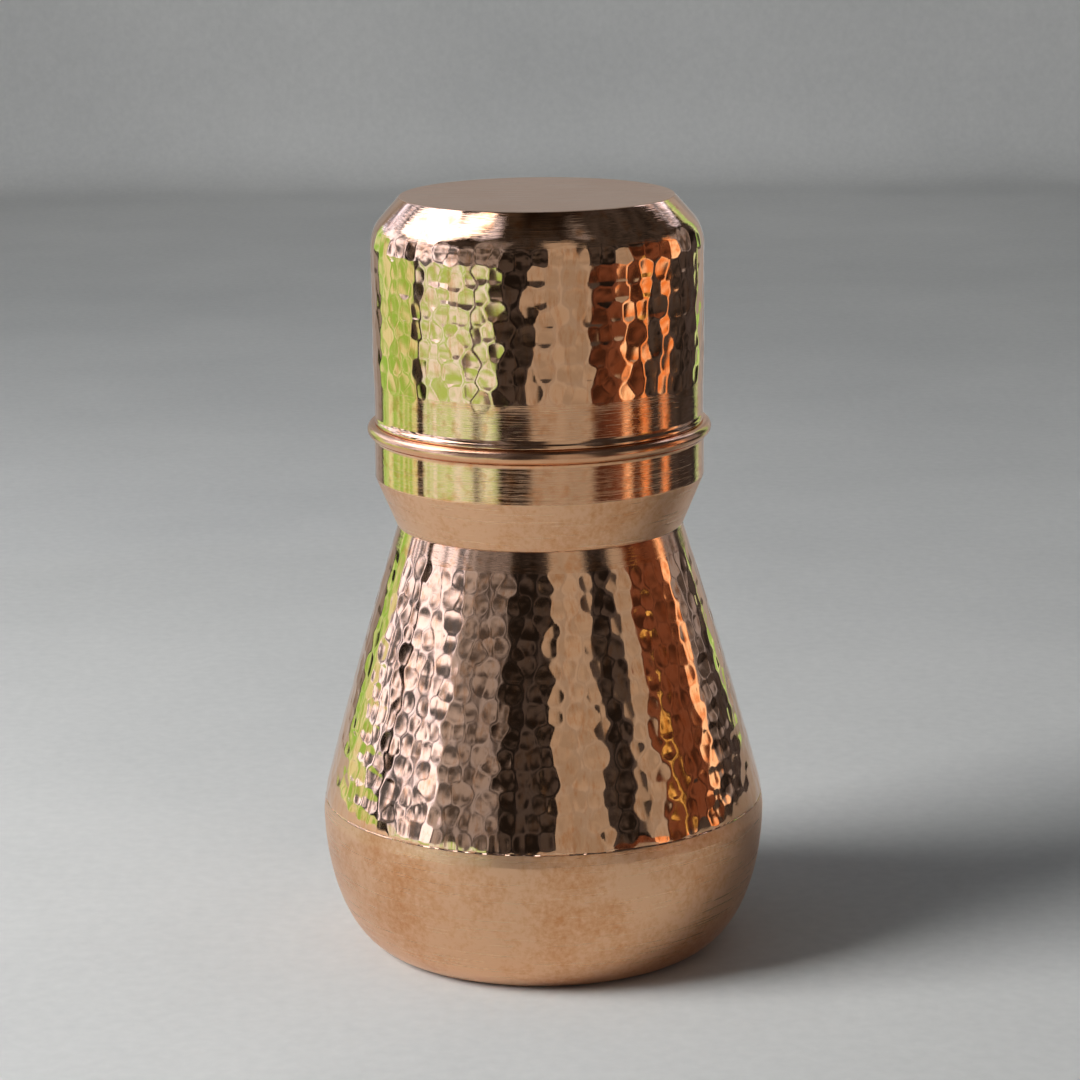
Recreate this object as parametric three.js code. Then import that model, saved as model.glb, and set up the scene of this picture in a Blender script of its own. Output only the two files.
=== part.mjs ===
// A hammered copper water bottle: a carafe made of three turned pieces brazed together, and
// the tumbler that slips upside down over its neck as a lid and rests on a half-round bead.
// Millimetres, +Z up. The origin is the centre of the foot, on the surface it stands on.
import * as THREE from "three";

// ---- driving dimensions -------------------------------------------------------------

const sheet = 0.8; // gauge of the copper sheet, the same in every piece
const seat = 0.3; // gap kept where one piece rests on, or is brazed to, another
const slip = 0.6; // radial clearance of the tumbler over the neck's spout

// Bowl: the plain lower part, up to its seam with the shoulder.
const footRadius = 41.6; // outer edge of the flat standing ring
const footRing = 6.6; // width of that ring
const kickRise = 1.5; // how far the dished middle of the foot stands clear of the table
const kickSlope = 2; // radial width of the step from the ring up to that middle
const bellyRadius = 60; // widest circle of the whole bottle
const bellyHeight = 38; // height of that widest circle
const seamRise = 3.2; // height of the seam, the bowl's top edge, above it
const seamInset = 0.4; // how far the seam lies inside it
const seamLap = 5; // height of the bowl's lip inside the shoulder

// Shoulder: the hammered taper from the seam up to the waist.
const waistRadius = 38.2; // narrowest outer radius of the bottle
const shoulderRise = 75.8; // from the seam up to the neck's underside

// Neck: flares out to a collar, swells into a bead and ends in an upright spout.
const skirtLength = 6; // how far the neck reaches down inside the shoulder
const flareRise = 13.3; // height of the flare, from the waist to the collar
const collarRise = 10.75; // height of the upright collar, from the flare to the bead
const collarProud = 0.2; // how far the collar stands out past the tumbler
const collarRound = 2; // radius of the corner between the flare and the collar
const beadRound = 1.85; // radius of the half-round bead
const spoutRise = 12; // spout's height above the bead

// Tumbler: upside down, so its flat base is the top of the bottle.
const tumblerRadius = 43.9; // outer radius at its mouth
const tumblerDepth = 59.95; // from mouth to base, outside
const tumblerSpread = 0.3; // how far the hammering has spread the wall
const mouthBand = 11.8; // plain band at the mouth, below the hammering
const spreadRun = 3; // height over which the wall reaches its hammered width
const bevelDrop = 8.8; // height of the bevel between the flat base and the wall
const bevelWidth = 7.9; // radial width of that bevel
const baseRound = 1; // radius of the corner between the base and the bevel
const bevelRound = 7; // radius of the corner between the bevel and the wall

// Brazing: a fillet of filler inside each lap joint.
const filletLeg = 1.6; // width and height of a fillet

// Facets.
const turns = 60; // flats round each turned piece
const facetTurn = 24; // most degrees that one flat of a rounded corner turns through
const bowlFacets = 10; // flats up the side of the bowl

// ---- sizes that follow from them ----------------------------------------------------

const kickRadius = footRadius - footRing - kickSlope;
const seamRadius = bellyRadius - seamInset;
const seamHeight = bellyHeight + seamRise;
const waistHeight = seamHeight + shoulderRise;
const collarHeight = waistHeight + flareRise;
const collarRadius = tumblerRadius + collarProud;
const beadHeight = collarHeight + collarRise + beadRound; // centre of the bead
const spoutRadius = tumblerRadius - sheet - slip;
const ledgeHeight = beadHeight + beadRound; // flat top of the bead
const spoutHeight = ledgeHeight + spoutRise;
const mouthHeight = ledgeHeight + seat; // where the tumbler's mouth rests
const topHeight = mouthHeight + tumblerDepth;
const wallRadius = tumblerRadius + tumblerSpread;
const baseRadius = wallRadius - bevelWidth;
const shoulderFoot = seamHeight + seat;
const shoulderTop = waistHeight - seat;
const taper = (seamRadius - waistRadius) / (shoulderTop - shoulderFoot);
const skirtRadius = insideShoulder(sheet + seat, shoulderTop);

// The radius, at a height, of a surface parallel to the shoulder's outside and a depth
// inside it.
function insideShoulder(depth, height) {
  return seamRadius - taper * (height - shoulderFoot) - depth * Math.hypot(1, taper);
}

// ---- profiles: lists of [radius, height] points -------------------------------------

// An ellipse's arc about [r, z] with half-axes a and b, between two angles in degrees.
function arc(r, z, a, b, from, to, facets) {
  return Array.from({ length: facets + 1 }, (_, i) => {
    const t = THREE.MathUtils.degToRad(from + ((to - from) * i) / facets);
    return [r + a * Math.cos(t), z + b * Math.sin(t)];
  });
}

// A line through corners. A corner with a third number is rounded to that radius, by an
// arc that touches the straights on both its sides.
function rounded(corners) {
  return corners.flatMap(([r, z, round], i) => {
    if (!round) return [[r, z]];
    const corner = new THREE.Vector2(r, z);
    const back = new THREE.Vector2(...corners[i - 1]).sub(corner).normalize();
    const on = new THREE.Vector2(...corners[i + 1]).sub(corner).normalize();
    const half = Math.acos(back.dot(on)) / 2;
    const towards = back.clone().add(on).normalize();
    const centre = corner.clone().addScaledVector(towards, round / Math.sin(half));
    const start = corner.clone().addScaledVector(back, round / Math.tan(half));
    const sweep = Math.sign(on.cross(back)) * (Math.PI - 2 * half);
    const facets = Math.ceil(THREE.MathUtils.radToDeg(Math.abs(sweep)) / facetTurn);
    return Array.from({ length: facets + 1 }, (_, k) =>
      start.clone().rotateAround(centre, (sweep * k) / facets).toArray(),
    );
  });
}

// The line moved to its left by a distance, with its corners mitred.
function moved(line, distance) {
  const normals = line.slice(1).map(([r, z], i) => {
    const along = new THREE.Vector2(r - line[i][0], z - line[i][1]).normalize();
    return new THREE.Vector2(-along.y, along.x);
  });
  return line.map(([r, z], i) => {
    const before = normals[Math.max(i - 1, 0)];
    const after = normals[Math.min(i, normals.length - 1)];
    const mitre = before.clone().add(after);
    mitre.multiplyScalar(distance / mitre.dot(before));
    return [r + mitre.x, z + mitre.y];
  });
}

// The outline of sheet metal whose outer face is the line, with the metal on its left.
function walled(line) {
  return [...line, ...moved(line, sheet).reverse()];
}

// ---- pieces -------------------------------------------------------------------------

const copper = (roughness) =>
  new THREE.MeshStandardMaterial({ color: 0xd8926a, metalness: 1, roughness });
const polished = copper(0.12);
const satin = copper(0.35);
const filler = new THREE.MeshStandardMaterial({
  color: 0xc9b487,
  metalness: 1,
  roughness: 0.45,
});

// A piece turned about the Z axis. Its profile runs with the metal on its left, and either
// starts and ends on the axis or is closed here.
function turned(name, profile, material) {
  const points = profile.map(([r, z]) => new THREE.Vector2(r, z));
  if (points[0].x > 0) points.push(points[0].clone());
  const mesh = new THREE.Mesh(new THREE.LatheGeometry(points, turns), material);
  mesh.name = name;
  mesh.rotation.x = Math.PI / 2;
  return mesh;
}

// The bowl's outside, from the middle of the foot to the seam. Inside the seam its edge is
// stepped in, and stands up as a lip that the shoulder fits over.
function lowerBowl() {
  const outside = [
    [0, kickRise],
    [kickRadius, kickRise],
    [kickRadius + kickSlope, 0],
    ...arc(
      footRadius,
      bellyHeight,
      bellyRadius - footRadius,
      bellyHeight,
      -90,
      0,
      bowlFacets,
    ),
    [seamRadius, seamHeight],
  ];
  const lipTop = seamHeight + seamLap;
  const lipOuter = sheet + seat;
  const lipInner = lipOuter + sheet;
  return [
    ...outside,
    [insideShoulder(lipOuter, seamHeight), seamHeight],
    [insideShoulder(lipOuter, lipTop), lipTop],
    [insideShoulder(lipInner, lipTop), lipTop],
    [insideShoulder(lipInner, seamHeight - sheet), seamHeight - sheet],
    ...moved(outside, sheet).slice(0, -1).reverse(),
  ];
}

// A straight taper, with both its edges cut level.
function hammeredShoulder() {
  return [
    [insideShoulder(0, shoulderFoot), shoulderFoot],
    [insideShoulder(0, shoulderTop), shoulderTop],
    [insideShoulder(sheet, shoulderTop), shoulderTop],
    [insideShoulder(sheet, shoulderFoot), shoulderFoot],
  ];
}

// Upwards from the skirt inside the shoulder: out over the shoulder's edge, along the
// flare, up the collar, round the bead, in along the ledge and up the spout.
function flaredNeck() {
  return walled([
    ...rounded([
      [skirtRadius, shoulderTop - skirtLength],
      [skirtRadius, waistHeight],
      [waistRadius, waistHeight],
      [collarRadius, collarHeight, collarRound],
      [collarRadius, beadHeight - beadRound],
    ]).slice(0, -1),
    ...arc(
      collarRadius,
      beadHeight,
      beadRound,
      beadRound,
      -90,
      90,
      Math.ceil(180 / facetTurn),
    ),
    [spoutRadius, ledgeHeight],
    [spoutRadius, spoutHeight],
  ]);
}

// Upwards from the mouth: the plain band, the hammered wall, the bevel and the flat base.
function tumbler() {
  const bandTop = mouthHeight + mouthBand;
  return walled(
    rounded([
      [tumblerRadius, mouthHeight],
      [tumblerRadius, bandTop],
      [wallRadius, bandTop + spreadRun],
      [wallRadius, topHeight - bevelDrop, bevelRound],
      [baseRadius, topHeight, baseRound],
      [0, topHeight],
    ]),
  );
}

// Filler on top of the bowl's lip, against the inside of the shoulder.
function bellyFillet() {
  const foot = seamHeight + seamLap + seat;
  const top = foot + filletLeg;
  return [
    [insideShoulder(sheet + seat, foot) - filletLeg, foot],
    [insideShoulder(sheet + seat, foot), foot],
    [insideShoulder(sheet + seat, top), top],
  ];
}

// Filler between the foot of the neck's skirt and the inside of the shoulder.
function waistFillet() {
  const foot = shoulderTop - skirtLength;
  const top = foot + filletLeg;
  return [
    [skirtRadius + seat, foot],
    [insideShoulder(sheet + seat, foot), foot],
    [insideShoulder(sheet + seat, top), top],
    [skirtRadius + seat, top],
  ];
}

const carafe = new THREE.Group();
carafe.add(
  turned("lower_bowl", lowerBowl(), satin),
  turned("hammered_shoulder", hammeredShoulder(), polished),
  turned("flared_neck", flaredNeck(), satin),
  turned("belly_braze_fillet", bellyFillet(), filler),
  turned("waist_braze_fillet", waistFillet(), filler),
);

const bottle = new THREE.Group();
bottle.add(carafe, turned("tumbler", tumbler(), polished));

export default bottle;
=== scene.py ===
"""A hammered copper bedside bottle: a brazed carafe, and the tumbler that closes it."""

import bpy
import numpy as np
from mathutils import Matrix, Vector


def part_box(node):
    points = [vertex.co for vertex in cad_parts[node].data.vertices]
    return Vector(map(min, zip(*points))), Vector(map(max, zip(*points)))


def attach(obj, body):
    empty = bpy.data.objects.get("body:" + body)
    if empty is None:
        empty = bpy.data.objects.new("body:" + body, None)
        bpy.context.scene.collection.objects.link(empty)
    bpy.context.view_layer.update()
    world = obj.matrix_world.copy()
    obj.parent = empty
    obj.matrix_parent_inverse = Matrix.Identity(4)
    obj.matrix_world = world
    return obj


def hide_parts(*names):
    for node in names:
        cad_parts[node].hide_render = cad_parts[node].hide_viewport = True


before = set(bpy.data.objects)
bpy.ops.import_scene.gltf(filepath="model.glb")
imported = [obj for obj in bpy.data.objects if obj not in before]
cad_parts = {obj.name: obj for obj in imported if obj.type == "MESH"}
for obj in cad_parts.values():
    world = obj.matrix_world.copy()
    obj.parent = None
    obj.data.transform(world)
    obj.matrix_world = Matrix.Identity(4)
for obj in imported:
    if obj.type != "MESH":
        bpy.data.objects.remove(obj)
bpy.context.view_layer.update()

# ---- Lower bowl ---------------------------------------------------------------------
# The plain bottom of the carafe, from the foot to the seam at the belly. It is spun from
# one disc of copper sheet on a lathe and left satin by the abrasive cloth. A lip stepped
# in at its top edge holds the shoulder for brazing.

MM = 0.001
SHEET = 0.8 * MM  # gauge of the copper sheet, in every piece
HAIRLINE = 0.004 * MM  # half the gap left at a closed seam
CAD_GAP = 0.3 * MM  # the gap that the CAD leaves at each joint

bowl_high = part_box("lower_bowl")[1]
shoulder_low, shoulder_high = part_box("hammered_shoulder")
BELLY_HEIGHT = 38 * MM  # of the widest circle
FOOT_RADIUS = 41.6 * MM  # outer edge of the flat ring that it stands on
FOOT_RING = 6.6 * MM  # width of that ring
KICK_SLOPE = 2 * MM  # width of the step up to the dished middle
KICK_RISE = 1.5 * MM  # height of that step
KICK_ROUND = 2 * MM  # roundness at its top
FOOT_ROUND = 1.2 * MM  # and at its foot
LIP_INSIDE_SEAM = 1.1 * MM  # from the shoulder's outside to the lip's outside
LIP_LEAN = 1.4 * MM  # how far the lip leans in to its top, along the shoulder
SEAM_EDGE = 0.02 * MM  # how far each edge at the seam is rounded over
SEAM_FLAT = 0.08 * MM  # from the edge to the row that keeps the rounding off the wall
seam = np.array([shoulder_high.x, shoulder_low.z - CAD_GAP / 2])  # radius, height


def outline(corners, step):
    """A line of [radius, height] through corners, as points about a step apart. A corner with
    a third number is rounded to that radius: the arc leaves and meets the straights at the
    radius over the tangent of half the angle between them, and its centre is on their
    bisector, at the radius over that half angle's sine."""
    points = [np.array(corners[0][:2])]
    for i, (r, z, *rounding) in enumerate(corners[1:], 1):
        arc = np.array([[r, z]])
        if rounding:
            back = points[-1] - arc[0]
            on = np.array(corners[i + 1][:2]) - arc[0]
            back, on = back / np.hypot(*back), on / np.hypot(*on)
            half = np.arccos(back @ on) / 2
            centre = arc[0] + (back + on) / np.hypot(*(back + on)) * rounding[0] / np.sin(half)
            x, y = arc[0] + back * rounding[0] / np.tan(half) - centre
            sweep = np.sign(on[0] * back[1] - on[1] * back[0]) * (np.pi - 2 * half)
            turn = np.linspace(0, sweep, 4 + int(abs(sweep) * rounding[0] / step))
            arc = centre + np.stack(
                [x * np.cos(turn) - y * np.sin(turn), x * np.sin(turn) + y * np.cos(turn)], 1
            )
        gap = arc[0] - points[-1]
        share = np.linspace(0, 1, 2 + int(np.hypot(*gap) / step))[1:-1, None]
        points.extend([*(points[-1] + gap * share), *arc])
    return np.array(points)


def beside(line, distance):
    """The line moved to its left by a distance, along the normal at each of its points."""
    along = np.gradient(line, axis=0)
    along /= np.hypot(along[:, 0], along[:, 1])[:, None]
    return line + distance * np.stack([-along[:, 1], along[:, 0]], 1)


def turned(name, profile, columns, dent=None):
    """A surface of revolution: the profile's point (r, z) goes to (r sin a, -r cos a, z) for
    each column's angle a. The profile has the metal on its left. It either starts and ends
    on the axis, where a row is one vertex, or closes on itself. dent(r, z, a) is how far
    each point on the outside, where the profile climbs, moves out along its normal. The
    attribute "hollow" keeps its depth, as a share of the deepest."""
    angle = np.arange(columns) * 2 * np.pi / columns
    closed = profile[0, 0] > 0
    along = np.gradient(profile, axis=0)
    if closed:
        along = np.roll(profile, -1, 0) - np.roll(profile, 1, 0)
    along /= np.hypot(along[:, 0], along[:, 1])[:, None]
    r = np.repeat(profile[:, :1], columns, 1)
    z = np.repeat(profile[:, 1:], columns, 1)
    depth = np.zeros_like(r)
    if dent:
        depth = dent(r, z, angle[None, :]) * (along[:, 1:] > 0.3)
        r, z = r + depth * along[:, 1:], z - depth * along[:, :1]
    place = np.stack([r * np.sin(angle), -r * np.cos(angle), z], 2)
    pole = np.repeat(profile[:, :1] <= 0, columns, 1)
    shown = ~pole
    shown[:, 0] = True
    index = np.cumsum(shown.ravel()).reshape(shown.shape) - 1
    index = np.where(pole, index[:, :1], index)
    below = index if closed else index[:-1]
    above = np.roll(index, -1, 0) if closed else index[1:]
    faces = np.stack([below, np.roll(below, -1, 1), np.roll(above, -1, 1), above], 2).reshape(-1, 4)
    foot = faces[:, 0] == faces[:, 1]
    top = faces[:, 2] == faces[:, 3]
    mesh = bpy.data.meshes.new(name)
    mesh.from_pydata(
        place[shown].tolist(),
        [],
        faces[~(foot | top)].tolist() + faces[foot, 1:].tolist() + faces[top, :3].tolist(),
    )
    mesh.shade_smooth()
    if dent:
        hollow = mesh.attributes.new("hollow", "FLOAT", "POINT")
        hollow.data.foreach_set("value", (depth / depth.min())[shown].astype(np.float32))
    piece = bpy.data.objects.new(name, mesh)
    bpy.context.scene.collection.objects.link(piece)
    return piece


def bowl_profile():
    """The foot, then a quarter of an ellipse from the standing ring to the widest circle, then
    in to the seam; back along the lip and down the inside, a sheet's thickness away."""
    ring = outline(
        [
            [0, KICK_RISE],
            [FOOT_RADIUS - FOOT_RING - KICK_SLOPE, KICK_RISE, KICK_ROUND],
            [FOOT_RADIUS - FOOT_RING, 0, FOOT_ROUND],
            [FOOT_RADIUS, 0],
        ],
        0.8 * MM,
    )
    turn = np.linspace(-np.pi / 2, 0, 90)[1:]
    side = np.stack(
        [
            FOOT_RADIUS + (bowl_high.x - FOOT_RADIUS) * np.cos(turn),
            BELLY_HEIGHT + BELLY_HEIGHT * np.sin(turn),
        ],
        1,
    )
    top = seam[1] - HAIRLINE
    lip_foot = seam[0] - LIP_INSIDE_SEAM
    rise = outline([side[-1], [seam[0], top]], 0.4 * MM)[1:]
    outside = np.concatenate([ring, side, rise[:-1]])
    edge = outline(
        [
            outside[-1],
            [seam[0], top - SEAM_FLAT],
            [seam[0], top, SEAM_EDGE],
            [lip_foot, top],
            [lip_foot - LIP_LEAN, bowl_high.z, SEAM_EDGE],
            [lip_foot - LIP_LEAN - SHEET, bowl_high.z, SEAM_EDGE],
            [lip_foot - SHEET, seam[1] - SHEET],
        ],
        0.4 * MM,
    )[1:]
    inside = beside(outside, SHEET)[::-1]
    inside = inside[inside[:, 1] < seam[1] - SHEET - 0.2 * MM]
    inside[-1, 0] = 0
    return np.concatenate([outside, edge, inside])


def linear(hex_colour):
    """An sRGB hex colour as linear red, green, blue and alpha."""
    values = np.array([int(hex_colour[i : i + 2], 16) for i in (1, 3, 5)]) / 255
    values = np.where(values > 0.04045, ((values + 0.055) / 1.055) ** 2.4, values / 12.92)
    return (*values.tolist(), 1.0)


def node(tree, kind, links=None, **settings):
    """Adds a node. Settings are its own properties; links gives each input, by name or number,
    a value or another node's output socket."""
    made = tree.nodes.new("ShaderNode" + kind)
    for key, value in settings.items():
        setattr(made, key, value)
    for key, value in (links or {}).items():
        if isinstance(value, bpy.types.NodeSocket):
            tree.links.new(value, made.inputs[key])
        else:
            made.inputs[key].default_value = value
    return made


def ramp(tree, value, *stops):
    """A colour ramp of (position, grey level) stops over a value, as its output socket."""
    made = node(tree, "ValToRGB", {0: value})
    while len(made.color_ramp.elements) < len(stops):
        made.color_ramp.elements.new(0.5)
    for element, (position, level) in zip(made.color_ramp.elements, stops):
        element.position = position
        element.color = (level, level, level, 1)
    return made.outputs[0]


def surface(name, metallic):
    """A new material, its node tree, its shader, and where each point lies on the object."""
    material = bpy.data.materials.new(name)
    material.use_nodes = True
    tree = material.node_tree
    shader = tree.nodes["Principled BSDF"]
    shader.inputs["Metallic"].default_value = metallic
    return material, tree, shader, node(tree, "TexCoord").outputs["Object"]


def satin_copper():
    """Satin spun copper: fine turning marks 0.6 mm apart ring the axis and blur what the metal
    reflects into a soft glow. Handling has left warm orange blooms 12 mm wide, each broken up
    into specks under a millimetre."""
    material, tree, shader, place = surface("satin_spun_copper", metallic=1)
    bloom = node(
        tree, "TexNoise", {"Vector": place, "Scale": 1 / (24 * MM), "Detail": 4.0, "Roughness": 0.62}
    )
    speck = node(
        tree, "TexNoise", {"Vector": place, "Scale": 1 / (1.6 * MM), "Detail": 3.0, "Roughness": 0.7}
    )
    worn = node(tree, "MixRGB", {0: 0.42, 1: bloom.outputs[0], 2: speck.outputs[0]})
    patch = ramp(tree, worn.outputs[0], (0.475, 0.0), (0.66, 0.85))
    colour = node(tree, "MixRGB", {0: patch, 1: linear("#ecbb93"), 2: linear("#d6915a")})
    lines = node(tree, "Mapping", {"Vector": place, "Scale": (0.02, 0.02, 1)})
    turning = node(
        tree,
        "TexNoise",
        {"Vector": lines.outputs[0], "Scale": 1 / (0.6 * MM), "Detail": 3.0, "Roughness": 0.65},
    )
    grain = ramp(tree, turning.outputs[0], (0.3, 0.25), (0.7, 0.37))
    bump = node(tree, "Bump", {"Strength": 1.0, "Distance": 0.013 * MM, "Height": turning.outputs[0]})
    tree.links.new(colour.outputs[0], shader.inputs["Base Color"])
    tree.links.new(grain, shader.inputs["Roughness"])
    tree.links.new(bump.outputs[0], shader.inputs["Normal"])
    return material


satin = satin_copper()
bowl = turned("bowl", bowl_profile(), 280)
bowl.data.materials.append(satin)
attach(bowl, "carafe")
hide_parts("lower_bowl")

# ---- Hammered shoulder --------------------------------------------------------------
# The tapering upper body, from the belly seam to the waist. It is raised from copper sheet,
# planished in level rows with a round-faced hammer, and buffed bright. A plain strip is
# left at the top, where the neck is brazed on.

WAIST_RADIUS = 38.2 * MM  # outside, where the neck sits on the shoulder
SHOULDER_BOW = 0.45 * MM  # how far hammering has bowed the taper outwards
TUCK = 0.4 * MM  # how far the foot curls in to meet the bowl
TUCK_HEIGHT = 4 * MM  # how high the curl starts
PLAIN_STRIP = 5.6 * MM  # height of the strip left unhammered
STRIP_OUT = 1.2 * MM  # how much wider the shoulder is at the foot of that strip
BLOW_HEIGHT = 5.3 * MM  # from one row of hammer marks to the next
BLOW_WIDTH = 3.75 * MM  # from one mark to the next in a row
BLOW_DEPTH = 0.098 * MM  # of a mark, at its middle
BLOW_ROUND = 31 * MM  # radius that the hammer's face leaves
waist = shoulder_high.z + CAD_GAP / 2


def shoulder_outside():
    """A straight taper, plus a bow of 4 t (1 - t) at a share t of its height, less a tuck that
    grows as the square of the distance below its start."""
    low, high = seam[1] + HAIRLINE, waist - HAIRLINE
    t = np.linspace(0, 1, 140)
    z = low + (high - low) * t
    r = seam[0] + TUCK + (WAIST_RADIUS - seam[0] - TUCK) * t + SHOULDER_BOW * 4 * t * (1 - t)
    r -= TUCK * (np.clip(low + TUCK_HEIGHT - z, 0, None) / TUCK_HEIGHT) ** 2
    return np.stack([r, z], 1)


def shoulder_profile():
    """Up the outside and down the inside, a sheet's thickness away, with all four edges
    rounded over."""
    outside = shoulder_outside()
    inside = beside(outside, SHEET)[::-12]
    return outline(
        [
            (outside[0] + inside[-1]) / 2,
            [*outside[0], SEAM_EDGE],
            outside[0] + (outside[1] - outside[0]) * 0.15,
            *outside[1:-1],
            [*outside[-1], SEAM_EDGE],
            [*inside[0], SEAM_EDGE],
            *inside[1:-1],
            [*inside[-1], SEAM_EDGE],
            (outside[0] * 1.2 + inside[-1] * 0.8) / 2,
        ],
        8 * MM,
    )


def hammered(foot, top, rows, seed, depth, radius):
    """How far hammer blows dent a turned wall between two [radius, height] points. Each blow
    leaves a shallow bowl: the square of the distance from its centre over twice its radius
    of curvature, plus a slight lean, less its depth. The wall is as low as the lowest bowl
    at each point, and untouched where none reaches. The blows lie in level rows, a width
    apart, and each is a little off its place."""
    random = np.random.default_rng(seed)
    most = 120  # more blows than any row holds
    size = (rows, most)
    phase = random.random(rows)
    off_across = random.uniform(-0.16, 0.16, size)
    off_up = random.uniform(-0.06, 0.06, size) + random.uniform(-0.03, 0.03, (rows, 1))
    deep = depth * random.uniform(0.82, 1.22, size)
    curve_across = radius * random.uniform(0.8, 1.2, size)
    curve_up = radius * random.uniform(0.85, 1.25, size)
    lean_across = random.normal(0, 0.027, size)
    lean_up = random.normal(0, 0.022, size)
    pitch = (top[1] - foot[1]) / rows

    def dent(r, z, angle):
        lowest = np.zeros_like(r)
        row = np.floor((z - foot[1]) / pitch).astype(int)
        for up in (-1, 0, 1):
            j = np.clip(row + up, 0, rows - 1)
            girth = 2 * np.pi * (foot[0] + (top[0] - foot[0]) * (j + 0.5) / rows)
            count = np.round(girth / BLOW_WIDTH).astype(int)
            first = np.floor(angle / (2 * np.pi) * count + phase[j]).astype(int)
            for on in (-1, 0, 1):
                k = (first + on) % count
                centre = (first + on + 0.5 - phase[j] + off_across[j, k]) * 2 * np.pi / count
                across = r * (angle - centre)
                rise = z - foot[1] - (j + 0.5 + off_up[j, k]) * pitch
                bowl = across**2 / (2 * curve_across[j, k]) + rise**2 / (2 * curve_up[j, k])
                bowl += lean_across[j, k] * across + lean_up[j, k] * rise - deep[j, k]
                lowest = np.minimum(lowest, np.where(j == row + up, bowl, 0))
        return lowest

    return dent


def bright_copper():
    """Buffed copper: close to a mirror, with a faint haze of hairlines round the axis from the
    mop. Fine warm specks of tarnish lie in streaks down the wall. The ridges between hammer
    marks are duller than the hollows, and their paler colour is a painted highlight."""
    material, tree, shader, place = surface("buffed_hammered_copper", metallic=1)
    streak = node(tree, "Mapping", {"Vector": place, "Scale": (1, 1, 0.25)})
    speck = node(
        tree,
        "TexNoise",
        {"Vector": streak.outputs[0], "Scale": 1 / (2.2 * MM), "Detail": 4.0, "Roughness": 0.7},
    )
    patch = ramp(tree, speck.outputs[0], (0.5, 0.0), (0.72, 1.0))
    hollow = node(tree, "Attribute", attribute_name="hollow").outputs["Fac"]
    ridge = ramp(tree, hollow, (0.02, 0.12), (0.3, 0.0))
    tarnished = node(tree, "MixRGB", {0: patch, 1: linear("#eab68b"), 2: linear("#dd9a66")})
    # The paler colour on the ridges is a painted highlight; their extra dullness is in the roughness
    # below.
    colour = node(tree, "MixRGB", {0: ridge, 1: tarnished.outputs[0], 2: linear("#fbdcc2")})
    cloudy = ramp(tree, speck.outputs[0], (0.4, 0.05), (0.75, 0.11))
    haze = node(tree, "MixRGB", {0: ridge, 1: cloudy, 2: (0.2, 0.2, 0.2, 1)}).outputs[0]
    lines = node(tree, "Mapping", {"Vector": place, "Scale": (0.03, 0.03, 1)})
    mop = node(tree, "TexNoise", {"Vector": lines.outputs[0], "Scale": 1 / (0.35 * MM), "Detail": 2.0})
    bump = node(tree, "Bump", {"Strength": 0.25, "Distance": 0.006 * MM, "Height": mop.outputs[0]})
    tree.links.new(colour.outputs[0], shader.inputs["Base Color"])
    tree.links.new(haze, shader.inputs["Roughness"])
    tree.links.new(bump.outputs[0], shader.inputs["Normal"])
    return material


def turned_copper():
    """Copper burnished on the lathe: bright, but ringed by the tool's own ridges, 0.2 to 1.2 mm
    apart, which comb out the edges of whatever the metal reflects."""
    material, tree, shader, place = surface("burnished_turned_copper", metallic=1)
    lines = node(tree, "Mapping", {"Vector": place, "Scale": (0.015, 0.015, 1)})
    ridge = node(
        tree,
        "TexNoise",
        {"Vector": lines.outputs[0], "Scale": 1 / (0.9 * MM), "Detail": 4.0, "Roughness": 0.75},
    )
    speck = node(tree, "TexNoise", {"Vector": place, "Scale": 1 / (3 * MM), "Detail": 4.0})
    patch = ramp(tree, speck.outputs[0], (0.5, 0.0), (0.75, 1.0))
    colour = node(tree, "MixRGB", {0: patch, 1: linear("#ecb98f"), 2: linear("#dd9a66")})
    haze = ramp(tree, ridge.outputs[0], (0.3, 0.04), (0.7, 0.09))
    bump = node(tree, "Bump", {"Strength": 1.0, "Distance": 0.055 * MM, "Height": ridge.outputs[0]})
    tree.links.new(colour.outputs[0], shader.inputs["Base Color"])
    tree.links.new(haze, shader.inputs["Roughness"])
    tree.links.new(bump.outputs[0], shader.inputs["Normal"])
    return material


def finish_between(piece, material, low, high):
    """Gives a material to the outside between two heights: to the faces whose middles lie there
    and that face away from the axis or up."""
    piece.data.materials.append(material)
    count = len(piece.data.polygons)
    middle, normal = np.empty((2, count * 3), np.float32)
    worn = np.empty(count, np.int32)
    piece.data.polygons.foreach_get("center", middle)
    piece.data.polygons.foreach_get("normal", normal)
    piece.data.polygons.foreach_get("material_index", worn)
    x, y, z = middle.reshape(-1, 3).T
    across, along, up = normal.reshape(-1, 3).T
    outside = (across * x + along * y > 0) | (up > 0.7)
    worn[outside & (z > low) & (z < high)] = len(piece.data.materials) - 1
    piece.data.polygons.foreach_set("material_index", worn)


bright = bright_copper()
burnished = turned_copper()
hammer_foot = np.array([seam[0] + TUCK, seam[1]])
hammer_top = np.array([WAIST_RADIUS + STRIP_OUT, waist - PLAIN_STRIP])
shoulder = turned(
    "shoulder",
    shoulder_profile(),
    560,
    hammered(
        hammer_foot,
        hammer_top,
        round((hammer_top[1] - hammer_foot[1]) / BLOW_HEIGHT),
        seed=3,
        depth=BLOW_DEPTH,
        radius=BLOW_ROUND,
    ),
)
shoulder.data.materials.append(bright)
finish_between(shoulder, burnished, waist - PLAIN_STRIP, waist)
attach(shoulder, "carafe")
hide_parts("hammered_shoulder")

# ---- Brazing ------------------------------------------------------------------------
# Two rings of brass filler inside the carafe, one on the bowl's lip and one at the foot of
# the neck's skirt. Each has run into its joint and set with a hollow face.

FILLET = 1.7 * MM  # width and height of each ring
SKIRT_RADIUS = 37.06 * MM  # outside of the neck's skirt


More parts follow.
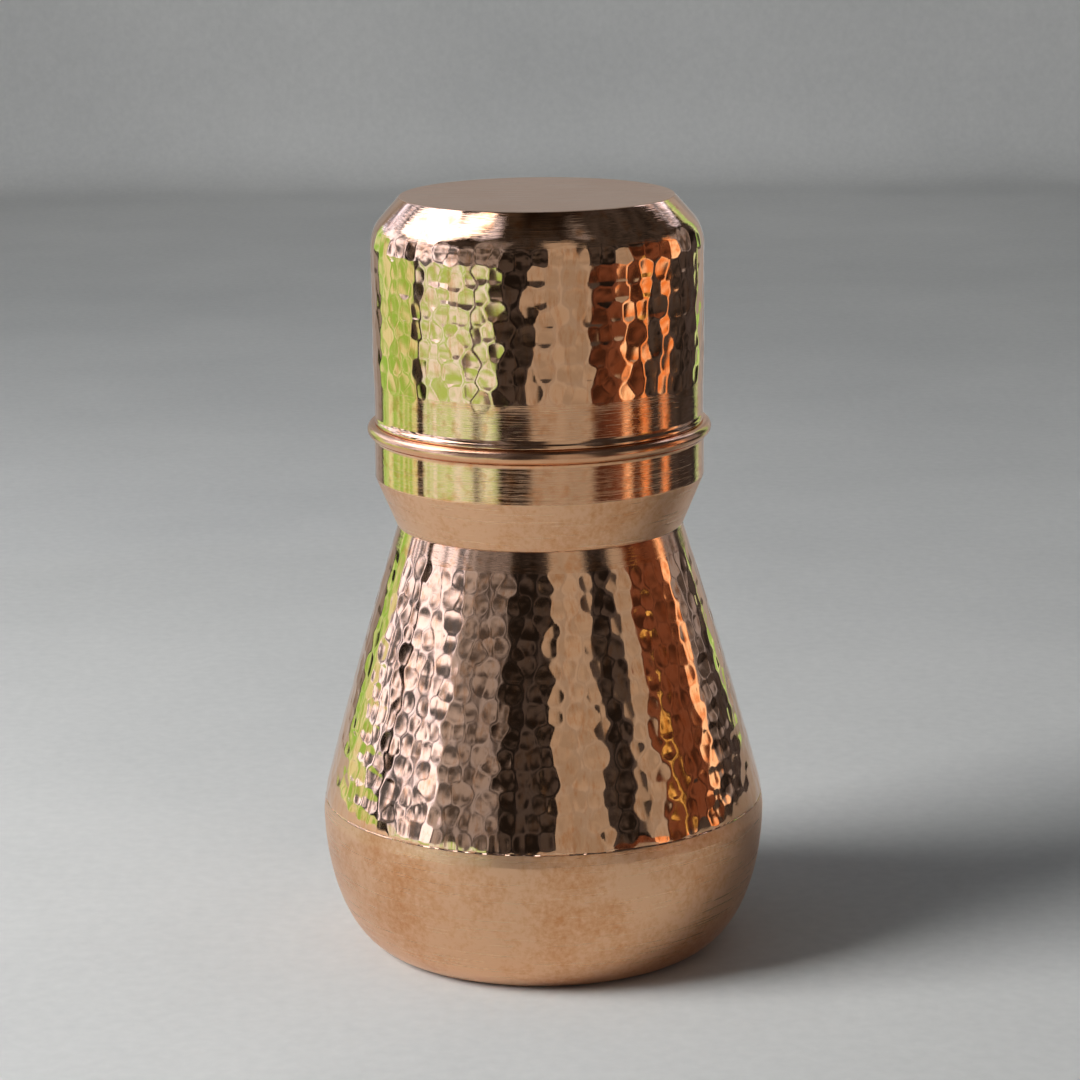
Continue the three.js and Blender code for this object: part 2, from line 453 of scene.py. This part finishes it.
def filler_ring(name, corners, hollow):
    """A ring whose section goes round its corners. Its first side is the free face, hollowed by
    4 t (1 - t) of a depth at a share t of the way along it."""
    start, end = np.array(corners[0]), np.array(corners[1])
    t = np.linspace(0, 1, 9)[:, None]
    along = end - start
    normal = np.array([-along[1], along[0]]) / np.hypot(*along)
    face = start + along * t + normal * hollow * 4 * t * (1 - t)
    return turned(name, np.concatenate([face, corners[2:]]), 240)


def filler_brass():
    """Brazing brass as it set: yellower than the copper, dull, and faintly rippled."""
    material, tree, shader, place = surface("set_brazing_brass", metallic=1)
    ripple = node(tree, "TexNoise", {"Vector": place, "Scale": 1 / (2.5 * MM), "Detail": 3.0})
    tint = node(
        tree, "MixRGB", {0: ripple.outputs[0], 1: linear("#d8b878"), 2: linear("#9c7648")}
    )
    bump = node(tree, "Bump", {"Strength": 0.6, "Distance": 0.08 * MM, "Height": ripple.outputs[0]})
    tree.links.new(tint.outputs[0], shader.inputs["Base Color"])
    tree.links.new(bump.outputs[0], shader.inputs["Normal"])
    shader.inputs["Roughness"].default_value = 0.42
    return material


brass = filler_brass()
wall = beside(shoulder_outside(), SHEET + HAIRLINE)
neck_low, neck_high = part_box("flared_neck")


def wall_radius(height):
    """The radius of the shoulder's inside at a height."""
    return np.interp(height, wall[:, 1], wall[:, 0])


lip = bowl_high.z + HAIRLINE
belly_braze = filler_ring(
    "belly_braze",
    [
        [wall_radius(lip + FILLET), lip + FILLET],
        [wall_radius(lip) - FILLET, lip],
        [wall_radius(lip), lip],
    ],
    0.3 * MM,
)
waist_braze = filler_ring(
    "waist_braze",
    [
        [SKIRT_RADIUS + HAIRLINE, neck_low.z],
        [wall_radius(neck_low.z), neck_low.z],
        [wall_radius(neck_low.z + FILLET), neck_low.z + FILLET],
        [SKIRT_RADIUS + HAIRLINE, neck_low.z + FILLET],
    ],
    0.4 * MM,
)
for ring, cad in ((belly_braze, "belly_braze_fillet"), (waist_braze, "waist_braze_fillet")):
    ring.data.materials.append(brass)
    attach(ring, "carafe")
    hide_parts(cad)

# ---- Flared neck --------------------------------------------------------------------
# One spun piece: a skirt brazed inside the shoulder, the satin flare, the bright collar with
# its turning lines, the half-round bead rolled out of the sheet for the tumbler to rest on,
# and the spout that the tumbler slips over.

COLLAR_RADIUS = 44.1 * MM
COLLAR_HEIGHT = 130.3 * MM  # where the flare meets the collar
COLLAR_ROUND = 1.2 * MM  # roundness of that corner
BEAD_ROUND = neck_high.x - COLLAR_RADIUS  # radius of the bead's half circle
BEAD_HEIGHT = 142.9 * MM  # of its middle
BEAD_FILLET = 0.9 * MM  # roundness of the corner under it
SPOUT_RADIUS = 42.5 * MM
SPOUT_LIP = 0.35 * MM  # roundness of the spout's edge
WAIST_LEDGE = 0.25 * MM  # how far the neck stands out past the shoulder
WAIST_EDGE = 0.45 * MM  # roundness of that edge
SHEET_FOLD = 0.8 * MM  # roundness inside, where the sheet is folded
SHARP_FOLD = 0.25 * MM  # and where it is folded sharply
WAVES = 9  # lengths of wave left by the turning tool
WAVE_SLOPE = 0.0013  # height of each wave over its length


def neck_profile():
    """Up the outside through corners, with the bead as half a circle, then down the inside. The
    inside is a sheet's thickness from the outside, so it repeats each corner moved in."""
    half_turn = np.linspace(-np.pi / 2, np.pi / 2, 23)[1:-1]
    bead = np.stack(
        [COLLAR_RADIUS + BEAD_ROUND * np.cos(half_turn), BEAD_HEIGHT + BEAD_ROUND * np.sin(half_turn)],
        1,
    )
    bore = BEAD_ROUND - SHEET
    groove = np.stack(
        [COLLAR_RADIUS + bore * np.cos(half_turn), BEAD_HEIGHT + bore * np.sin(half_turn)], 1
    )
    return outline(
        [
            [SKIRT_RADIUS - SHEET / 2, neck_low.z],
            [SKIRT_RADIUS, neck_low.z, SEAM_EDGE],
            [SKIRT_RADIUS, waist + HAIRLINE],
            [WAIST_RADIUS + WAIST_LEDGE, waist + HAIRLINE, WAIST_EDGE],
            [COLLAR_RADIUS, COLLAR_HEIGHT, COLLAR_ROUND],
            [COLLAR_RADIUS, BEAD_HEIGHT - BEAD_ROUND, BEAD_FILLET],
            *bead,
            [SPOUT_RADIUS, BEAD_HEIGHT + BEAD_ROUND, SHARP_FOLD],
            [SPOUT_RADIUS, neck_high.z, SPOUT_LIP],
            [SPOUT_RADIUS - SHEET, neck_high.z, SPOUT_LIP],
            [SPOUT_RADIUS - SHEET, BEAD_HEIGHT + bore, SHEET_FOLD],
            *groove[::-1],
            [COLLAR_RADIUS - SHEET, BEAD_HEIGHT - bore, SHARP_FOLD],
            [COLLAR_RADIUS - SHEET, COLLAR_HEIGHT, COLLAR_ROUND],
            [WAIST_RADIUS - SHEET, waist + SHEET, SHEET_FOLD],
            [SKIRT_RADIUS - SHEET, waist + SHEET, 0.3 * MM],
            [SKIRT_RADIUS - SHEET, neck_low.z, SEAM_EDGE],
            [SKIRT_RADIUS - SHEET * 0.55, neck_low.z],
        ],
        0.45 * MM,
    )


def lathe_lines(low, high, seed):
    """How far the turning tool has cut at each height between two heights: a sum of waves from
    3 mm down to 0.6 mm long, whose heights shrink with their lengths."""
    random = np.random.default_rng(seed)
    length = np.geomspace(3, 0.6, WAVES) * MM
    start = random.random(WAVES) * 2 * np.pi

    def dent(r, z, angle):
        waves = np.sin(z[..., None] / length * 2 * np.pi + start) * length * WAVE_SLOPE
        return np.where((z > low) & (z < high), waves.sum(-1), 0)

    return dent


def rolled_copper():
    """Copper rolled to a bead and rubbed bright by the tumbler's mouth: a close-grained sheen
    with hairlines 0.3 mm apart along the roll."""
    material, tree, shader, place = surface("rolled_bead_copper", metallic=1)
    lines = node(tree, "Mapping", {"Vector": place, "Scale": (0.02, 0.02, 1)})
    hair = node(tree, "TexNoise", {"Vector": lines.outputs[0], "Scale": 1 / (0.3 * MM), "Detail": 3.0})
    rub = node(tree, "TexNoise", {"Vector": place, "Scale": 1 / (4 * MM), "Detail": 4.0})
    colour = node(tree, "MixRGB", {0: rub.outputs[0], 1: linear("#eebb93"), 2: linear("#dd9f70")})
    grain = ramp(tree, hair.outputs[0], (0.3, 0.17), (0.7, 0.23))
    tree.links.new(colour.outputs[0], shader.inputs["Base Color"])
    tree.links.new(grain, shader.inputs["Roughness"])
    return material


collar_top = BEAD_HEIGHT - BEAD_ROUND
neck = turned(
    "neck", neck_profile(), 320, lathe_lines(COLLAR_HEIGHT + 1 * MM, collar_top - 1 * MM, 5)
)
neck.data.materials.append(satin)
finish_between(neck, burnished, COLLAR_HEIGHT, collar_top)
finish_between(neck, rolled_copper(), collar_top, BEAD_HEIGHT + BEAD_ROUND + HAIRLINE)
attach(neck, "carafe")
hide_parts("flared_neck")

# ---- Tumbler ------------------------------------------------------------------------
# The drinking cup that closes the bottle, upside down. It is spun from sheet, planished in
# eight rows above a plain turned band at its mouth, and has a bright turned bevel round a
# flat satin base.

tumbler_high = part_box("tumbler")[1]
MOUTH_RADIUS = 43.9 * MM
MOUTH_EDGE = 0.3 * MM  # roundness of the edge that is drunk from
MOUTH_CLEAR = 0.03 * MM  # from that edge to the bead that it rests on
PLAIN_BAND = 11.8 * MM  # at the mouth, below the hammering
SPREAD_RUN = 8 * MM  # over which the wall comes out from the mouth's radius
BEVEL_DROP = 8.8 * MM
BEVEL_WIDTH = 7.9 * MM
BEVEL_CORNER = 11 * MM  # roundness between the wall and the bevel
BEVEL_START = 0.45  # where that rounding ends, as a share of the bevel
BASE_CORNER = 0.9 * MM  # roundness between the bevel and the base
HAMMER_PAST = 0.4 * MM  # how far the hammering runs past the corner
TUMBLER_ROWS = 8  # of hammer marks


def tumbler_profile(mouth):
    """Up the outside from the mouth to the middle of the base, and back down the inside, a
    sheet's thickness away."""
    wall = tumbler_high.x
    corner = tumbler_high.z - BEVEL_DROP
    t = np.linspace(0, 1, 16)
    spread = MOUTH_RADIUS + (wall - MOUTH_RADIUS) * (1 - np.cos(t * np.pi)) / 2
    band_top = [MOUTH_RADIUS, mouth + PLAIN_BAND - SPREAD_RUN / 2]
    bevel_start = [wall - BEVEL_WIDTH * BEVEL_START, corner + BEVEL_DROP * BEVEL_START]
    band = outline([[MOUTH_RADIUS, mouth], band_top], 1.5 * MM)
    hammering = outline(
        [
            band_top,
            *np.stack([spread, mouth + PLAIN_BAND + SPREAD_RUN * (t - 0.5)], 1)[1:],
            [wall, corner, BEVEL_CORNER],
            bevel_start,
        ],
        0.5 * MM,
    )
    bevel = outline(
        [
            bevel_start,
            [wall - BEVEL_WIDTH, tumbler_high.z, BASE_CORNER],
            [wall - BEVEL_WIDTH - 2 * MM, tumbler_high.z],
            [0, tumbler_high.z],
        ],
        8 * MM,
    )
    shell = np.concatenate([band, hammering[1:], bevel[1:]])
    inside = outline(
        [
            [0, tumbler_high.z - SHEET],
            [wall - BEVEL_WIDTH - 0.4 * MM, tumbler_high.z - SHEET, BASE_CORNER],
            [wall - SHEET, corner - 0.3 * MM, BEVEL_CORNER],
            [MOUTH_RADIUS - SHEET, mouth + PLAIN_BAND],
            [MOUTH_RADIUS - SHEET, mouth, MOUTH_EDGE],
            [MOUTH_RADIUS - SHEET / 2, mouth],
            [MOUTH_RADIUS, mouth, MOUTH_EDGE],
            shell[1],
        ],
        5 * MM,
    )
    return np.concatenate([shell[1:], inside[1:]])


def linished_copper():
    """Copper rubbed on flat abrasive paper: satin, with faint straight streaks along x, 0.5 mm
    wide, that soften what it reflects more across than along them."""
    material, tree, shader, place = surface("linished_satin_copper", metallic=1)
    drawn = node(tree, "Mapping", {"Vector": place, "Scale": (0.03, 1, 1)})
    streak = node(
        tree,
        "TexNoise",
        {"Vector": drawn.outputs[0], "Scale": 1 / (0.5 * MM), "Detail": 3.0, "Roughness": 0.6},
    )
    bloom = node(tree, "TexNoise", {"Vector": place, "Scale": 1 / (20 * MM), "Detail": 3.0})
    colour = node(
        tree, "MixRGB", {0: bloom.outputs[0], 1: linear("#efcdb2"), 2: linear("#e0b492")}
    )
    grain = ramp(tree, streak.outputs[0], (0.3, 0.25), (0.7, 0.38))
    bump = node(tree, "Bump", {"Strength": 0.5, "Distance": 0.01 * MM, "Height": streak.outputs[0]})
    tree.links.new(colour.outputs[0], shader.inputs["Base Color"])
    tree.links.new(grain, shader.inputs["Roughness"])
    tree.links.new(bump.outputs[0], shader.inputs["Normal"])
    return material


mouth = BEAD_HEIGHT + BEAD_ROUND + MOUTH_CLEAR
hammer_end = tumbler_high.z - BEVEL_DROP + HAMMER_PAST
base_edge = tumbler_high.z - BASE_CORNER / 8
tumbler = turned(
    "drinking_cup",
    tumbler_profile(mouth),
    570,
    hammered(
        np.array([MOUTH_RADIUS, mouth + PLAIN_BAND]),
        np.array([tumbler_high.x, hammer_end]),
        TUMBLER_ROWS,
        seed=8,
        depth=BLOW_DEPTH,
        radius=BLOW_ROUND,
    ),
)
tumbler.data.materials.append(satin)
finish_between(tumbler, burnished, mouth, mouth + PLAIN_BAND)
finish_between(tumbler, bright, mouth + PLAIN_BAND, hammer_end)
finish_between(tumbler, burnished, hammer_end, base_edge)
finish_between(tumbler, linished_copper(), base_edge, np.inf)
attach(tumbler, "tumbler")
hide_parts("tumbler")

# ---- Floor and wall -----------------------------------------------------------------
# The bottle stands on a pale cast concrete top that sweeps up into a wall behind it.

WALL_AT = 1.69  # from the bottle back to the wall
SWEEP = 0.06  # radius of the curve from the top to the wall
TOP_FRONT = -4  # where the top begins, in front of the bottle
WALL_TOP = 3.5  # height of the wall
HALF_WIDTH = 5  # of the top and the wall
CLOUD = 0.25  # width of a cloud in the concrete
PORE = 0.004  # and of a pore


def laid(name, place, material):
    """A grid of places as a mesh with a material."""
    rows, columns = place.shape[:2]
    index = np.arange(rows * columns).reshape(rows, columns)
    faces = np.stack([index[:-1, :-1], index[:-1, 1:], index[1:, 1:], index[1:, :-1]], 2)
    mesh = bpy.data.meshes.new(name)
    mesh.from_pydata(place.reshape(-1, 3).tolist(), [], faces.reshape(-1, 4).tolist())
    mesh.shade_smooth()
    mesh.materials.append(material)
    piece = bpy.data.objects.new(name, mesh)
    bpy.context.scene.collection.objects.link(piece)
    return piece


def cast_concrete():
    """Trowelled pale concrete: matt, with clouds 0.25 m wide and pores 4 mm wide."""
    material, tree, shader, place = surface("trowelled_pale_concrete", metallic=0)
    cloud = node(
        tree, "TexNoise", {"Vector": place, "Scale": 1 / CLOUD, "Detail": 6.0, "Roughness": 0.6}
    )
    pore = node(tree, "TexNoise", {"Vector": place, "Scale": 1 / PORE, "Detail": 4.0})
    mixed = node(tree, "MixRGB", {0: 0.32, 1: cloud.outputs[0], 2: pore.outputs[0]})
    share = ramp(tree, mixed.outputs[0], (0.25, 0.0), (0.75, 1.0))
    colour = node(tree, "MixRGB", {0: share, 1: linear("#bbbcbb"), 2: linear("#d3d3d1")})
    bump = node(tree, "Bump", {"Strength": 0.25, "Distance": 0.2 * MM, "Height": mixed.outputs[0]})
    tree.links.new(colour.outputs[0], shader.inputs["Base Color"])
    tree.links.new(bump.outputs[0], shader.inputs["Normal"])
    shader.inputs["Roughness"].default_value = 0.75
    return material


concrete = cast_concrete()
section = outline([[TOP_FRONT, 0], [WALL_AT, 0, SWEEP], [WALL_AT, WALL_TOP]], 0.05)
across, back = np.meshgrid([-HALF_WIDTH, 0, HALF_WIDTH], section[:, 0])
rise = np.repeat(section[:, 1:], 3, 1)
floor = laid("floor", np.stack([across, back, rise], 2), concrete)
floor.visible_glossy = False

# ---- What the copper reflects -------------------------------------------------------
# Mirror-bright copper shows the room and not itself, so the room is laid out as panels that
# only reflections see: windows on the left, warm lamps and shelves on the right. The part of
# the concrete that it can see ends at the edge of the table.

TABLE = 0.5  # radius of the table round the bottle
TABLE_LIFT = 0.1 * MM  # how far it lies above the floor, so that the two don't coincide
ROOM = 1.6  # from the bottle to the panels
CEILING = 5.3  # height of the ceiling
CEILING_RADIUS = 1.2 * ROOM  # far enough to close the room over the panels
EYE_LEVEL = 0.12  # height on the bottle that the panels' elevations are taken from


def seen_in_copper(piece):
    """Leaves a piece of the stage to reflections alone."""
    piece.visible_camera = False
    piece.visible_diffuse = False
    piece.visible_shadow = False
    piece.visible_transmission = False
    piece.visible_volume_scatter = False


def disc(radii, spokes, height):
    """A level disc, as the place (r cos a, r sin a, height) for each radius r and angle a."""
    r, a = np.meshgrid(radii, np.linspace(0, 2 * np.pi, spokes))
    return np.stack([r * np.cos(a), r * np.sin(a), np.full_like(r, height)], 2)


table = laid("table", disc(np.linspace(0.001, TABLE, 12), 65, TABLE_LIFT), concrete)
seen_in_copper(table)


def glow(name, low_colour, high_colour, strength, patch):
    """Light from a panel: two colours in soft patches of a width, three times as tall."""
    material = bpy.data.materials.new(name)
    material.use_nodes = True
    tree = material.node_tree
    tree.nodes.remove(tree.nodes["Principled BSDF"])
    place = node(tree, "TexCoord").outputs["Object"]
    tall = node(tree, "Mapping", {"Vector": place, "Scale": (1, 1, 0.33)})
    cloud = node(tree, "TexNoise", {"Vector": tall.outputs[0], "Scale": 1 / patch, "Detail": 2.0})
    share = ramp(tree, cloud.outputs[0], (0.42, 0.0), (0.58, 1.0))
    colour = node(tree, "MixRGB", {0: share, 1: linear(low_colour), 2: linear(high_colour)})
    light = node(tree, "Emission", {"Color": colour.outputs[0], "Strength": strength})
    tree.links.new(light.outputs[0], tree.nodes["Material Output"].inputs["Surface"])
    return material


def panel(name, azimuth, elevation, material):
    """A panel of the room between two bearings and two elevations, in degrees. A bearing a is
    taken from the front, and is negative on the left: it goes to (sin a, -cos a)."""
    side, rise = np.meshgrid(
        np.radians(np.linspace(*azimuth, 9)), np.tan(np.radians(np.linspace(*elevation, 9)))
    )
    place = np.stack([ROOM * np.sin(side), -ROOM * np.cos(side), EYE_LEVEL + ROOM * rise], 2)
    seen_in_copper(laid(name, place, material))


# What each panel shows: its name, two colours, strength, and the width of its patches.
sky = glow("window_sky", "#363e4c", "#c8d6ff", 3.0, 0.1)
sun = glow("sunlit_sky", "#cfdcff", "#e4ecff", 5.0, 0.5)
shade = glow("shaded_sky", "#565c68", "#b4bdd4", 1.1, 0.12)
garden = glow("window_garden", "#94d868", "#dcf4d0", 1.25, 0.09)
pale_garden = glow("window_pale_garden", "#98cc78", "#d0e8ff", 1.6, 0.07)
soot = glow("dark_room", "#1d1c1d", "#4c4c52", 1.0, 0.1)
dim = glow("dim_wall", "#4c4d54", "#a2a9bb", 1.0, 0.1)
grey = glow("grey_wall", "#a3a19f", "#b6b4b2", 1.0, 0.15)
pale = glow("pale_wall", "#9a9a99", "#aeaead", 1.0, 0.3)
rust = glow("rust_shelf", "#402a22", "#7a5244", 1.0, 0.12)
lamp = glow("warm_lamp", "#e09050", "#ffe8d0", 1.4, 0.1)
gold = glow("gold_lamp", "#4a3018", "#f8d884", 1.2, 0.06)

# The elevations that each storey of panels spans, in degrees, then the panels.
LOW = (-35, -3)
MIDDLE = (-3, 30)
TOP = (30, 58)
ROOF = (58, 73)
HIGH = (-3, 58)
SHELVES = (-3, 24)
ROOM_PLAN = (
    ("wall_behind", (150, 210), (-5, 45), pale),
    ("roof_left", (-180, -100), ROOF, soot),
    ("sunlit_roof", (-100, -80), ROOF, sun),
    ("roof_bar", (-80, -72), ROOF, soot),
    ("roof_pane", (-72, -58), ROOF, sky),
    ("roof_front", (-58, 49), ROOF, soot),
    ("roof_lamp", (49, 66), ROOF, dim),
    ("roof_right", (66, 180), ROOF, soot),
    ("floor_behind", (144, 218), (-35, -5), pale),
    ("left_post", (-142, -139), LOW, soot),
    ("far_garden", (-150, -124), (-3, 14), garden),
    ("rear_window_top", (-150, -132), (14, 58), sky),
    ("rear_window_middle", (-132, -124), (14, 30), sky),
    ("rear_window", (-124, -99), MIDDLE, sky),
    ("mullion", (-99, -94), MIDDLE, soot),
    ("front_window", (-94, -60), MIDDLE, sky),
    ("shaded_window", (-60, -50), MIDDLE, shade),
    ("sunlit_top", (-132, -82), TOP, sun),
    ("top_frame", (-82, -50), TOP, soot),
    ("rear_garden", (-139, -93), LOW, garden),
    ("low_mullion", (-93, -87), LOW, soot),
    ("front_garden", (-87, -46), LOW, pale_garden),
    ("low_post", (-46, -41), LOW, dim),
    ("near_garden", (-41, -29), LOW, pale_garden),
    ("left_wall", (-50, -24), HIGH, dim),
    ("low_doorway", (-28, -6), LOW, soot),
    ("doorway", (-24, 6), HIGH, soot),
    ("low_wall", (-6, 37), LOW, grey),
    ("wall", (6, 34), HIGH, grey),
    ("low_shelf", (37, 60), LOW, rust),
    ("side_door", (34, 54), SHELVES, soot),
    ("right_wall", (54, 67), SHELVES, grey),
    ("near_shelf", (67, 74), SHELVES, rust),
    ("low_lamp", (60, 65), LOW, lamp),
    ("second_shelf", (65, 75), LOW, rust),
    ("second_lamp", (75, 80), LOW, lamp),
    ("third_shelf", (80, 94), LOW, soot),
    ("third_lamp", (94, 99), LOW, lamp),
    ("low_end", (99, 128), LOW, soot),
    ("gold_shade", (74, 80), (-3, 8), gold),
    ("over_gold_shade", (74, 80), (8, 24), rust),
    ("high_shelf", (80, 103), SHELVES, rust),
    ("high_lamp", (103, 110), SHELVES, lamp),
    ("dim_end", (110, 130), SHELVES, dim),
    ("above_shelves", (34, 133), (24, 58), soot),
    ("right_post", (130, 145), (-3, 26), soot),
    ("small_window", (133, 148), (26, 46), sky),
    ("right_garden", (145, 150), (-3, 26), garden),
    ("low_right_post", (128, 140), LOW, soot),
    ("low_right_garden", (140, 144), LOW, garden),
)
for name, azimuth, elevation, material in ROOM_PLAN:
    panel(name, azimuth, elevation, material)
ceiling = laid(
    "ceiling",
    disc(np.linspace(0.01, CEILING_RADIUS, 6), 33, CEILING),
    glow("dark_ceiling", "#1e1a18", "#46403b", 1.0, 1.2),
)
seen_in_copper(ceiling)

# ---- Light and camera ---------------------------------------------------------------
# A big soft window lights the concrete from the left, a weaker light reaches the wall, and the
# room fills in grey.


def soft_light(name, energy, size, spread, place, target):
    """A square light that faces a target: its power in watts, and its spread in degrees."""
    lamp_data = bpy.data.lights.new(name, "AREA")
    lamp_data.energy = energy
    lamp_data.size = size
    lamp_data.spread = np.radians(spread)
    light = bpy.data.objects.new(name, lamp_data)
    light.location = place
    light.rotation_euler = (Vector(target) - light.location).to_track_quat("-Z", "Y").to_euler()
    light.visible_glossy = False
    bpy.context.scene.collection.objects.link(light)


soft_light("soft_window", 15, 0.8, 120, place=(-1.2, -0.45, 0.85), target=(0, 0.1, 0))
soft_light("wall_wash", 2, 1, 70, place=(0.4, 0.5, 1.5), target=(0, WALL_AT, 1))

room = bpy.data.worlds.new("grey_room")
room.use_nodes = True
background = room.node_tree.nodes["Background"]
background.inputs["Color"].default_value = linear("#616262")
background.inputs["Strength"].default_value = 1
bpy.context.scene.world = room

TILT = 13  # degrees that the camera looks down
ROLL = -0.65  # degrees that it leans
lens = bpy.data.cameras.new("camera")
lens.lens = 115.16
lens.clip_end = 13
camera = bpy.data.objects.new("camera", lens)
camera.location = (-0.00014, -0.9083, 0.321)
looking = Matrix.Rotation(np.radians(90 - TILT), 4, "X")
camera.rotation_euler = (looking @ Matrix.Rotation(np.radians(ROLL), 4, "Z")).to_euler()
bpy.context.scene.collection.objects.link(camera)
bpy.context.scene.camera = camera
bpy.context.scene.view_settings.view_transform = "Standard"
